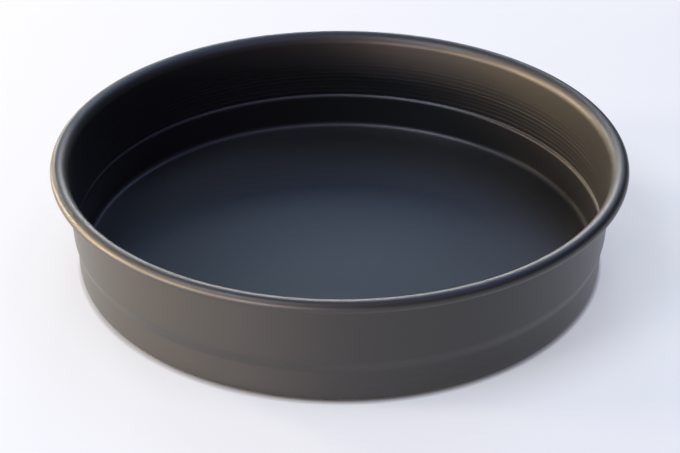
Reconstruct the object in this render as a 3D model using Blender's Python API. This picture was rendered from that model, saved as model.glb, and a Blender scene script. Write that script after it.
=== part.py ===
"""Deep dish pizza pan, spun in one piece from dark anodised aluminium sheet.

The pan stands on its flat floor with the spin axis on Z and the table at Z = 0. Its wall has a straight foot, a
ledge that the next pan's foot sits on when pans are stacked, a drafted upper part, and a flare that rolls over
into a hollow bead. The section follows the middle of the sheet and gets the sheet's thickness on both sides.
"""
import math

import bmesh
import bpy
from mathutils import Vector

# Driving dimensions, in metres
MOUTH_DIAMETER = 0.3556
INSIDE_DEPTH = 0.0762
SHEET = 0.00163
CORNER_RADIUS = 0.0040
LEDGE_HEIGHT = 0.0270
LEDGE_BEND = 0.0019
NEST_CLEARANCE = 0.00015
UPPER_DRAFT = 0.0013
BEAD_DIAMETER = 0.0076
BEAD_GAP = 0.0022

# Driving angles
LEDGE_SLOPE = math.radians(50)
CURL_SWEEP = math.radians(270)

# Facets: around the pan, and along each bend of the section
ROUND_STEPS = 96
CORNER_STEPS = 4
LEDGE_STEPS = 3
FLARE_STEPS = 5
CURL_STEPS = 12

# Heights that follow, on the middle of the sheet
FLOOR_MIDDLE = SHEET / 2
TOP_MIDDLE = INSIDE_DEPTH + SHEET / 2

# Radii that follow, on the middle of the sheet
MOUTH_MIDDLE = MOUTH_DIAMETER / 2 + SHEET / 2
LEDGE_MIDDLE = MOUTH_MIDDLE - UPPER_DRAFT
FOOT_MIDDLE = LEDGE_MIDDLE - SHEET - NEST_CLEARANCE

# Bends that follow: the flare clears the bead by the gap, and the raw edge is tucked in under it
BEAD_BEND = BEAD_DIAMETER / 2 - SHEET / 2
FLARE_BEND = BEAD_DIAMETER / 2 + BEAD_GAP + SHEET / 2
CORNER_BEND = CORNER_RADIUS + SHEET / 2
LEDGE_RISE = (LEDGE_MIDDLE - FOOT_MIDDLE) / math.tan(LEDGE_SLOPE)


def clear_scene():
    for item in list(bpy.data.objects):
        bpy.data.objects.remove(item, do_unlink=True)


def arc(centre, radius, start, end, steps):
    """Points on an arc with their outward directions, both ends included."""
    rows = []
    for step in range(steps + 1):
        angle = start + (end - start) * step / steps
        direction = Vector((math.cos(angle), math.sin(angle)))
        rows.append((centre + radius * direction, direction))
    return rows


def rounded_corner(before, corner, after, radius, steps):
    """The bend that rounds one corner of a line: points, and unit normals on the line's left side."""
    incoming = (corner - before).normalized()
    outgoing = (after - corner).normalized()
    turn = incoming.angle_signed(outgoing)
    side = -math.copysign(1.0, turn)
    left_of_incoming = Vector((-incoming.y, incoming.x))
    tangent_point = corner - incoming * radius * math.tan(abs(turn) / 2)
    centre = tangent_point + side * radius * left_of_incoming
    start_direction = tangent_point - centre
    start = math.atan2(start_direction.y, start_direction.x)
    rows = arc(centre, radius, start, start - turn, steps)
    return [(point, -side * direction) for point, direction in rows]


def sheet_middle():
    """The middle of the sheet from the floor's edge to the raw edge, with normals on the food side."""
    ledge_low = Vector((FOOT_MIDDLE, LEDGE_HEIGHT - LEDGE_RISE / 2))
    ledge_high = Vector((LEDGE_MIDDLE, LEDGE_HEIGHT + LEDGE_RISE / 2))
    floor_centre = Vector((0, FLOOR_MIDDLE))
    floor_corner = Vector((FOOT_MIDDLE, FLOOR_MIDDLE))
    mouth_corner = Vector((MOUTH_MIDDLE, TOP_MIDDLE))
    beyond_rim = mouth_corner + Vector((BEAD_DIAMETER, 0))
    rows = rounded_corner(floor_centre, floor_corner, ledge_low, CORNER_BEND, CORNER_STEPS)
    rows += rounded_corner(floor_corner, ledge_low, ledge_high, LEDGE_BEND, LEDGE_STEPS)
    rows += rounded_corner(ledge_low, ledge_high, mouth_corner, LEDGE_BEND, LEDGE_STEPS)
    rows += rounded_corner(ledge_high, mouth_corner, beyond_rim, FLARE_BEND, FLARE_STEPS)
    crown = rows[-1][0]
    bead_centre = crown - Vector((0, BEAD_BEND))
    top = math.pi / 2
    rows += arc(bead_centre, BEAD_BEND, top, top - CURL_SWEEP, CURL_STEPS)[1:]
    return rows


def pan_section():
    """The closed outline's open chain: up the food side, over the raw edge and down the outer side."""
    middle = sheet_middle()
    food_side = [point + normal * SHEET / 2 for point, normal in middle]
    outer_side = [point - normal * SHEET / 2 for point, normal in reversed(middle)]
    return food_side + outer_side


def spin_section(mesh, chain):
    """Turns a chain of radius and height once round Z and closes both ends with flat faces."""
    first = [mesh.verts.new((point.x, 0, point.y)) for point in chain]
    edges = [mesh.edges.new(pair) for pair in zip(first, first[1:])]
    bmesh.ops.spin(mesh, geom=first + edges, cent=(0, 0, 0), axis=(0, 0, 1), dvec=(0, 0, 0),
                   angle=math.tau, steps=ROUND_STEPS, use_merge=True)
    open_edges = [edge for edge in mesh.edges if edge.is_boundary]
    bmesh.ops.edgeloop_fill(mesh, edges=open_edges)
    bmesh.ops.recalc_face_normals(mesh, faces=mesh.faces)


def anodised_aluminium():
    """Satin, nearly black hard coat."""
    material = bpy.data.materials.new("anodised_aluminium")
    material.use_nodes = True
    shader = material.node_tree.nodes["Principled BSDF"]
    shader.inputs["Base Color"].default_value = (0.08, 0.08, 0.08, 1)
    shader.inputs["Metallic"].default_value = 1.0
    shader.inputs["Roughness"].default_value = 0.52
    return material


def build_pan():
    data = bpy.data.meshes.new("pan_body")
    mesh = bmesh.new()
    spin_section(mesh, pan_section())
    mesh.to_mesh(data)
    mesh.free()
    data.shade_smooth()
    data.set_sharp_from_angle(angle=math.radians(40))
    data.materials.append(anodised_aluminium())
    pan = bpy.data.objects.new("pan_body", data)
    bpy.context.scene.collection.objects.link(pan)
    return pan


clear_scene()
build_pan()
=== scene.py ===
"""Looks of the deep dish pizza pan: a fine spun body in satin dark anodised aluminium, on a pale floor."""

import math

import bpy
import numpy as np
from mathutils import Matrix, Vector


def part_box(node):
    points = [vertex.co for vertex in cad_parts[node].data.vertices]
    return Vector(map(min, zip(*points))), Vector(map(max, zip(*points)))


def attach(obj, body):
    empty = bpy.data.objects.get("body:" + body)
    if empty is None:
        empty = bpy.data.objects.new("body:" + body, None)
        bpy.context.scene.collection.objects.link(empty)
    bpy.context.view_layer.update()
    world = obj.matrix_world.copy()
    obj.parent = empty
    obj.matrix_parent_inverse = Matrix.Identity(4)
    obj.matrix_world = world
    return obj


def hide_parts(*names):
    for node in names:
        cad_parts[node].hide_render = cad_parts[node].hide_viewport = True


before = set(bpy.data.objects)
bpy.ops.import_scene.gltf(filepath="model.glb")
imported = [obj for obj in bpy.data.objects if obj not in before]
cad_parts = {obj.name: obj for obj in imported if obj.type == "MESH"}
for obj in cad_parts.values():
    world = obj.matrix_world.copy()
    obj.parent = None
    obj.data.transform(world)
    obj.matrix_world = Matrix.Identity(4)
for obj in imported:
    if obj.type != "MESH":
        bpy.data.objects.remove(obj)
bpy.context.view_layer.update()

# The pan's height, from the frame
PAN_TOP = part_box("pan_body")[1].z

# The pan's sizes in metres and its two angles, as the solids have them
MOUTH_DIAMETER = 0.3556
SHEET = 0.00163
CORNER_RADIUS = 0.0040
LEDGE_HEIGHT = 0.0270
LEDGE_BEND = 0.0019
NEST_CLEARANCE = 0.00015
UPPER_DRAFT = 0.0013
BEAD_DIAMETER = 0.0076
BEAD_GAP = 0.0022
LEDGE_SLOPE = math.radians(50)
CURL_SWEEP = math.radians(270)

# What follows from these, on the middle of the sheet
BEAD_BEND = BEAD_DIAMETER / 2 - SHEET / 2
FLARE_BEND = BEAD_DIAMETER / 2 + BEAD_GAP + SHEET / 2
CORNER_BEND = CORNER_RADIUS + SHEET / 2
FLOOR_MIDDLE = SHEET / 2
TOP_MIDDLE = PAN_TOP - SHEET / 2
MOUTH_MIDDLE = MOUTH_DIAMETER / 2 + SHEET / 2
LEDGE_MIDDLE = MOUTH_MIDDLE - UPPER_DRAFT
FOOT_MIDDLE = LEDGE_MIDDLE - SHEET - NEST_CLEARANCE
LEDGE_RISE = (LEDGE_MIDDLE - FOOT_MIDDLE) / math.tan(LEDGE_SLOPE)

# The ledge's height, rise and bends: crisp on the food side, softer and a little lower outside
FOOD_LEDGE = (LEDGE_HEIGHT, LEDGE_RISE, LEDGE_BEND)
OUTER_LEDGE = (0.0264, 0.0064, 0.0130)

# Fine ridges that the spinning leaves on the food side above the ledge
RING_PITCH = 0.0031
RING_HEIGHT = 0.00012
RING_STEP = 0.35
RING_WANDER = 0.08
RING_WANDER_RATES = (2.4, 5.3)
RING_WANDER_SHIFT = 1.0
RING_UNEVENNESS = 0.35
RING_UNEVEN_RATE = 1.7
RING_UNEVEN_SHIFT = 0.5
RINGS_START = 0.0290
RINGS_END = 0.0580
RING_FADE_IN = 0.0010
RING_FADE_OUT = 0.0120

# The coat: its colours, and the index of refraction and the roughness of its two faces
COAT_DARK = (0.0004, 0.0004, 0.0005, 1)
COAT_BROWN = (0.0016, 0.0012, 0.0008, 1)
ETCHED_INDEX = 1.50
ETCHED_ROUGHNESS = 0.60
SEALED_INDEX = 1.38
SEALED_ROUGHNESS = 0.42

# The coat's finest marks: lines turned round the pan, the metal's grain, and clouds in the sheen
LINE_WIDTH = 0.00045
LINE_DETAIL = 2.0
LINE_DRIFT = 0.02
LINE_DEPTH = 0.000003
LINE_ROUGHNESS = 0.06
GRAIN_SIZE = 0.00025
GRAIN_DETAIL = 1.0
GRAIN_SHARE = 0.5
CLOUD_SIZE = 0.014
CLOUD_DETAIL = 3.0
CLOUD_ROUGHNESS = 0.05

# Facets: round the pan, along its bends, and along its walls and floor, finer where the ridges are
ROUND_STEPS = 288
BEND_STEPS = 10
FLARE_STEPS = 20
CURL_STEPS = 40
FOOD_SIDE_STEP = 0.0002
OUTER_SIDE_STEP = 0.0040
FLOOR_STEP = 0.006

# Camera: where it stands, seen from the middle of the pan's base, where it aims, its roll and its lens
CAMERA_DISTANCE = 0.9726
CAMERA_ELEVATION = math.radians(31.984)
CAMERA_TARGET = Vector((0.00024, 0, 0.01347))
CAMERA_ROLL = math.radians(0.071)
CAMERA_LENS = 74.66
SENSOR_WIDTH = 36.0

# Floor: its size and colour, the glow added to what is seen of it, and its shade close to the pan
FLOOR_HALF = 4.0
FLOOR_COLOUR = (0.35, 0.35, 0.35, 1)
FLOOR_GLOW_COLOUR = (0.89, 0.93, 1.0, 1)
FLOOR_GLOW = 0.49
CONTACT_REACH = 0.0038
CONTACT_POWER = 2.0
NEAR_REACH = 0.030
NEAR_POWER = 0.22
CONTACT_SAMPLES = 16

# Sky: its colour, the level that lights the pan, and the pale band that is seen at the horizon
SKY_COLOUR = (0.95, 0.97, 1.0, 1)
SKY_FILL = 0.279
HORIZON_SEEN = 0.62
HORIZON_HEIGHT = math.sin(math.radians(8))

# How far every lamp stands from the pan, in metres
LAMP_DISTANCE = 3.0


def arc(centre, radius, start, end, steps):
    """Points on an arc with their outward directions, both ends included."""
    rows = []
    for step in range(steps + 1):
        angle = start + (end - start) * step / steps
        direction = Vector((math.cos(angle), math.sin(angle)))
        rows.append((centre + radius * direction, direction))
    return rows


def rounded_corner(before, corner, after, radius, steps):
    """The bend that rounds one corner of a line: points, and unit normals on the line's left side."""
    incoming = (corner - before).normalized()
    outgoing = (after - corner).normalized()
    turn = incoming.angle_signed(outgoing)
    side = -math.copysign(1.0, turn)
    left_of_incoming = Vector((-incoming.y, incoming.x))
    tangent_point = corner - incoming * radius * math.tan(abs(turn) / 2)
    centre = tangent_point + side * radius * left_of_incoming
    start_direction = tangent_point - centre
    start = math.atan2(start_direction.y, start_direction.x)
    rows = arc(centre, radius, start, start - turn, steps)
    return [(point, -side * direction) for point, direction in rows]


def sheet_bends(ledge):
    """The bends of the sheet's middle, in order from the floor to the raw edge."""
    height, rise, ledge_bend = ledge
    ledge_low = Vector((FOOT_MIDDLE, height - rise / 2))
    ledge_high = Vector((LEDGE_MIDDLE, height + rise / 2))
    floor_centre = Vector((0, FLOOR_MIDDLE))
    floor_corner = Vector((FOOT_MIDDLE, FLOOR_MIDDLE))
    mouth_corner = Vector((MOUTH_MIDDLE, TOP_MIDDLE))
    beyond_rim = mouth_corner + Vector((BEAD_DIAMETER, 0))
    bends = [
        rounded_corner(floor_centre, floor_corner, ledge_low, CORNER_BEND, BEND_STEPS),
        rounded_corner(floor_corner, ledge_low, ledge_high, ledge_bend, BEND_STEPS),
        rounded_corner(ledge_low, ledge_high, mouth_corner, ledge_bend, BEND_STEPS),
        rounded_corner(ledge_high, mouth_corner, beyond_rim, FLARE_BEND, FLARE_STEPS),
    ]
    bead_centre = bends[-1][-1][0] - Vector((0, BEAD_BEND))
    top = math.pi / 2
    bends.append(arc(bead_centre, BEAD_BEND, top, top - CURL_SWEEP, CURL_STEPS)[1:])
    return bends


def straight(start, end, step):
    """Points strictly between two section rows, evenly spaced, with the first row's normal."""
    count = max(1, round((end[0] - start[0]).length / step))
    return [(start[0].lerp(end[0], k / count), start[1]) for k in range(1, count)]


def sheet_middle(ledge, wall_step):
    """The whole middle line, with normals on the food side, from the floor's centre to the raw edge."""
    bends = sheet_bends(ledge)
    centre = (Vector((0, FLOOR_MIDDLE)), Vector((0, 1)))
    rows = [centre] + straight(centre, bends[0][0], FLOOR_STEP)
    for bend, following in zip(bends, bends[1:]):
        rows += bend
        if following is not bends[-1]:
            rows += straight(bend[-1], following[0], wall_step)
    return rows + bends[-1]


def ring_height(point):
    """How far the fine ridges lift the food side: each climbs slowly and falls back in a short step."""
    if point.x > MOUTH_MIDDLE or not RINGS_START < point.y < RINGS_END:
        return 0.0
    turns = (point.y - RINGS_START) / RING_PITCH
    slow_rate, fast_rate = RING_WANDER_RATES
    sway = math.sin(slow_rate * turns) + math.sin(fast_rate * turns + RING_WANDER_SHIFT)
    phase = (turns + RING_WANDER * sway) % 1.0
    tooth = min(phase / (1 - RING_STEP), (1 - phase) / RING_STEP)
    uneven = 1 + RING_UNEVENNESS * math.sin(RING_UNEVEN_RATE * turns + RING_UNEVEN_SHIFT)
    fade_in = min(1.0, (point.y - RINGS_START) / RING_FADE_IN)
    fade_out = min(1.0, (RINGS_END - point.y) / RING_FADE_OUT)
    return RING_HEIGHT * tooth * uneven * fade_in * fade_out


def pan_section():
    """Radius and height all round the sheet: out along the food side, over the raw edge and back outside."""
    food_rows = sheet_middle(FOOD_LEDGE, FOOD_SIDE_STEP)
    outer_rows = reversed(sheet_middle(OUTER_LEDGE, OUTER_SIDE_STEP))
    food_side = [point + normal * (SHEET / 2 + ring_height(point)) for point, normal in food_rows]
    return food_side + [point - normal * SHEET / 2 for point, normal in outer_rows]


def turned_points(chain):
    """The chain of radius and height at every step round Z, one whole chain after another."""
    radii = np.array([point.x for point in chain])
    heights = np.array([point.y for point in chain])
    angles = np.arange(ROUND_STEPS) * math.tau / ROUND_STEPS
    x = np.outer(np.cos(angles), radii)
    y = np.outer(np.sin(angles), radii)
    z = np.tile(heights, (ROUND_STEPS, 1))
    return np.stack([x, y, z], axis=-1).reshape(-1, 3).tolist()


def turned_faces(count):
    """Faces between the turned chains of count points, and fans to the two poles that follow them."""
    top_pole = ROUND_STEPS * count
    base_pole = top_pole + 1
    faces = []
    for turn in range(ROUND_STEPS):
        here = turn * count
        there = (turn + 1) % ROUND_STEPS * count
        faces.append((top_pole, here, there))
        faces += [(here + k, here + k + 1, there + k + 1, there + k) for k in range(count - 1)]
        faces.append((base_pole, there + count - 1, here + count - 1))
    return faces


def spun_mesh(name, section):
    """Turns the outline round Z; its first and last points lie on the axis and close the floor."""
    chain = section[1:-1]
    poles = [(0, 0, section[0].y), (0, 0, section[-1].y)]
    data = bpy.data.meshes.new(name)
    data.from_pydata(turned_points(chain) + poles, [], turned_faces(len(chain)))
    data.validate()
    data.shade_smooth()
    return data


def arithmetic(tree, operation, *values):
    """The result of one arithmetic node; each value is a number or the result of another node."""
    step = tree.nodes.new("ShaderNodeMath")
    step.operation = operation
    for socket, value in zip(step.inputs, values):
        if isinstance(value, bpy.types.NodeSocket):
            tree.links.new(value, socket)
        else:
            socket.default_value = value
    return step.outputs[0]


def noise(tree, place, grain, detail):
    """Cloudy noise from 0 to 1 whose blotches are about one grain wide."""
    pattern = tree.nodes.new("ShaderNodeTexNoise")
    pattern.inputs["Scale"].default_value = 1 / grain
    pattern.inputs["Detail"].default_value = detail
    tree.links.new(place, pattern.inputs["Vector"])
    return pattern.outputs["Fac"]


def turned_place(tree, position):
    """Distance from the axis and height, slowly drifting, so that a pattern over them runs round the pan."""
    apart = tree.nodes.new("ShaderNodeSeparateXYZ")
    flat = tree.nodes.new("ShaderNodeCombineXYZ")
    distance = tree.nodes.new("ShaderNodeVectorMath")
    distance.operation = "LENGTH"
    circle = tree.nodes.new("ShaderNodeCombineXYZ")
    drift = tree.nodes.new("ShaderNodeVectorMath")
    drift.operation = "MULTIPLY_ADD"
    drift.inputs[1].default_value = (LINE_DRIFT, LINE_DRIFT, LINE_DRIFT)
    tree.links.new(position, apart.inputs[0])
    tree.links.new(apart.outputs["X"], flat.inputs["X"])
    tree.links.new(apart.outputs["Y"], flat.inputs["Y"])
    tree.links.new(flat.outputs[0], distance.inputs[0])
    tree.links.new(distance.outputs["Value"], circle.inputs["X"])
    tree.links.new(apart.outputs["Z"], circle.inputs["Y"])
    tree.links.new(position, drift.inputs[0])
    tree.links.new(circle.outputs[0], drift.inputs[2])
    return drift.outputs[0]


def coat_colour(tree, clouds):
    """Nearly black, a little browner where the coat is thicker."""
    mix = tree.nodes.new("ShaderNodeMix")
    mix.data_type = "RGBA"
    mix.inputs["A"].default_value = COAT_DARK
    mix.inputs["B"].default_value = COAT_BROWN
    tree.links.new(clouds, mix.inputs["Factor"])
    return mix.outputs["Result"]


def etched_roughness(tree, lines, clouds):
    """The etched metal's roughness, moved a little by the lines and the clouds."""
    least = ETCHED_ROUGHNESS - (LINE_ROUGHNESS + CLOUD_ROUGHNESS) / 2
    lined = arithmetic(tree, "MULTIPLY_ADD", lines, LINE_ROUGHNESS, least)
    return arithmetic(tree, "MULTIPLY_ADD", clouds, CLOUD_ROUGHNESS, lined)


def anodised_coat():
    """The etched metal under dyed oxide, broad and dull, and the sealed face over it, a little sharper."""
    material = bpy.data.materials.new("anodised_aluminium")
    material.use_nodes = True
    tree = material.node_tree
    shader = tree.nodes["Principled BSDF"]
    position = tree.nodes.new("ShaderNodeTexCoord").outputs["Object"]
    lines = noise(tree, turned_place(tree, position), LINE_WIDTH, LINE_DETAIL)
    clouds = noise(tree, position, CLOUD_SIZE, CLOUD_DETAIL)
    grain = noise(tree, position, GRAIN_SIZE, GRAIN_DETAIL)
    relief = arithmetic(tree, "MULTIPLY_ADD", grain, GRAIN_SHARE, lines)
    bump = tree.nodes.new("ShaderNodeBump")
    bump.inputs["Distance"].default_value = LINE_DEPTH
    shader.inputs["Metallic"].default_value = 0.0
    shader.inputs["IOR"].default_value = ETCHED_INDEX
    shader.inputs["Coat Weight"].default_value = 1.0
    shader.inputs["Coat IOR"].default_value = SEALED_INDEX
    shader.inputs["Coat Roughness"].default_value = SEALED_ROUGHNESS
    tree.links.new(coat_colour(tree, clouds), shader.inputs["Base Color"])
    tree.links.new(etched_roughness(tree, lines, clouds), shader.inputs["Roughness"])
    tree.links.new(relief, bump.inputs["Height"])
    tree.links.new(bump.outputs["Normal"], shader.inputs["Normal"])
    tree.links.new(bump.outputs["Normal"], shader.inputs["Coat Normal"])
    return material


def seen_directly(tree):
    """1 on rays from the camera or mirrored by the pan, and 0 on rays that only carry light."""
    rays = tree.nodes.new("ShaderNodeLightPath").outputs
    seen_or_mirrored = arithmetic(tree, "MAXIMUM", rays["Is Camera Ray"], rays["Is Glossy Ray"])
    return arithmetic(tree, "MAXIMUM", seen_or_mirrored, rays["Is Transmission Ray"])


def openness(tree, reach, power):
    """1 where nothing is within reach over the floor, falling towards the pan."""
    contact = tree.nodes.new("ShaderNodeAmbientOcclusion")
    contact.samples = CONTACT_SAMPLES
    contact.inputs["Distance"].default_value = reach
    return arithmetic(tree, "POWER", contact.outputs["AO"], power)


def contact_shade(tree):
    """A deep shade right under the pan's foot and a faint wide one round it."""
    deep = openness(tree, CONTACT_REACH, CONTACT_POWER)
    return arithmetic(tree, "MULTIPLY", deep, openness(tree, NEAR_REACH, NEAR_POWER))


def floor_material():
    """Pale matt floor: part of its level is a glow that only the camera and reflections see."""
    material = bpy.data.materials.new("studio_floor")
    material.use_nodes = True
    tree = material.node_tree
    tree.nodes.remove(tree.nodes["Principled BSDF"])
    matt = tree.nodes.new("ShaderNodeBsdfDiffuse")
    matt.inputs["Color"].default_value = FLOOR_COLOUR
    glow = tree.nodes.new("ShaderNodeEmission")
    glow.inputs["Color"].default_value = FLOOR_GLOW_COLOUR
    level = arithmetic(tree, "MULTIPLY", seen_directly(tree), FLOOR_GLOW)
    shaded = arithmetic(tree, "MULTIPLY", level, contact_shade(tree))
    both = tree.nodes.new("ShaderNodeAddShader")
    tree.links.new(shaded, glow.inputs["Strength"])
    tree.links.new(matt.outputs[0], both.inputs[0])
    tree.links.new(glow.outputs[0], both.inputs[1])
    tree.links.new(both.outputs[0], tree.nodes["Material Output"].inputs["Surface"])
    return material


def build_pan():
    pan = bpy.data.objects.new("spun_pan", spun_mesh("spun_pan", pan_section()))
    bpy.context.scene.collection.objects.link(pan)
    pan.data.materials.append(anodised_coat())
    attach(pan, "root")
    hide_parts("pan_body")


def build_floor():
    half = FLOOR_HALF
    corners = [(-half, -half, 0), (half, -half, 0), (half, half, 0), (-half, half, 0)]
    data = bpy.data.meshes.new("studio_floor")
    data.from_pydata(corners, [], [(0, 1, 2, 3)])
    data.materials.append(floor_material())
    floor = bpy.data.objects.new("studio_floor", data)
    bpy.context.scene.collection.objects.link(floor)


def softbox(name, azimuth, elevation, size, watts, colour):
    """A square lamp aimed at the pan. Azimuth 0 is behind the pan and 90 is at its right."""
    turn = math.radians(azimuth)
    rise = math.radians(elevation)
    away = Vector((math.sin(turn) * math.cos(rise), math.cos(turn) * math.cos(rise), math.sin(rise)))
    light = bpy.data.lights.new(name, "AREA")
    light.shape = "SQUARE"
    light.size = size
    light.energy = watts
    light.color = colour
    lamp = bpy.data.objects.new(name, light)
    lamp.location = away * LAMP_DISTANCE
    lamp.rotation_mode = "QUATERNION"
    lamp.rotation_quaternion = away.to_track_quat("Z", "Y")
    bpy.context.scene.collection.objects.link(lamp)


def build_lamps():
    """Warm lamps low on the left, a window behind that is cooler higher up, and cool fill from above."""
    softbox("low_front", azimuth=-150, elevation=4, size=0.35, watts=62, colour=(1.0, 0.79, 0.82))
    softbox("low_near", azimuth=-120, elevation=4, size=0.35, watts=84, colour=(1.0, 0.77, 0.52))
    softbox("low_side", azimuth=-90, elevation=4, size=0.35, watts=56, colour=(1.0, 0.76, 0.40))
    softbox("key_side", azimuth=-90, elevation=13, size=0.5, watts=52, colour=(1.0, 0.77, 0.58))
    softbox("key_far", azimuth=-60, elevation=13, size=0.5, watts=66, colour=(1.0, 0.77, 0.51))
    softbox("back_left", azimuth=-30, elevation=19, size=0.6, watts=20.5, colour=(1.0, 0.97, 0.85))
    softbox("window_low", azimuth=0, elevation=13, size=0.5, watts=14.3, colour=(1.0, 0.97, 0.94))
    softbox("window_middle", azimuth=0, elevation=27, size=0.8, watts=5.6, colour=(0.67, 0.84, 1.0))
    softbox("window_high", azimuth=0, elevation=39, size=1.1, watts=3.2, colour=(0.27, 0.49, 1.0))
    softbox("fill_near", azimuth=-120, elevation=56, size=1.4, watts=59, colour=(0.77, 0.84, 1.0))
    softbox("fill_front", azimuth=120, elevation=56, size=1.4, watts=13.9, colour=(0.49, 0.45, 1.0))
    softbox("fill_back", azimuth=30, elevation=56, size=1.4, watts=17.6, colour=(0.48, 0.63, 1.0))


def horizon(tree):
    """The backdrop as seen or mirrored: pale at the horizon, fading to a dark ceiling."""
    direction = tree.nodes.new("ShaderNodeTexCoord").outputs["Generated"]
    apart = tree.nodes.new("ShaderNodeSeparateXYZ")
    fade = tree.nodes.new("ShaderNodeMapRange")
    fade.inputs["From Max"].default_value = HORIZON_HEIGHT
    fade.inputs["To Min"].default_value = HORIZON_SEEN
    fade.inputs["To Max"].default_value = 0.0
    tree.links.new(direction, apart.inputs[0])
    tree.links.new(apart.outputs["Z"], fade.inputs["Value"])
    return fade.outputs[0]


def build_world():
    """An even sky that only carries light, and the backdrop for rays that see it."""
    world = bpy.data.worlds.new("studio")
    world.use_nodes = True
    tree = world.node_tree
    background = tree.nodes["Background"]
    background.inputs["Color"].default_value = SKY_COLOUR
    level = tree.nodes.new("ShaderNodeMapRange")
    level.inputs["To Min"].default_value = SKY_FILL
    tree.links.new(horizon(tree), level.inputs["To Max"])
    tree.links.new(seen_directly(tree), level.inputs["Value"])
    tree.links.new(level.outputs[0], background.inputs["Strength"])
    bpy.context.scene.world = world


def build_camera():
    horizontal = math.cos(CAMERA_ELEVATION)
    back = Vector((0, -horizontal, math.sin(CAMERA_ELEVATION)))
    data = bpy.data.cameras.new("camera")
    data.sensor_width = SENSOR_WIDTH
    data.lens = CAMERA_LENS
    camera = bpy.data.objects.new("camera", data)
    camera.location = back * CAMERA_DISTANCE
    aim = (CAMERA_TARGET - camera.location).to_track_quat("-Z", "Y").to_matrix().to_4x4()
    roll = Matrix.Rotation(CAMERA_ROLL, 4, "Z")
    camera.matrix_world = Matrix.Translation(camera.location) @ aim @ roll
    bpy.context.scene.collection.objects.link(camera)
    bpy.context.scene.camera = camera


build_camera()
build_pan()
build_floor()
build_lamps()
build_world()
bpy.context.scene.view_settings.view_transform = "Standard"
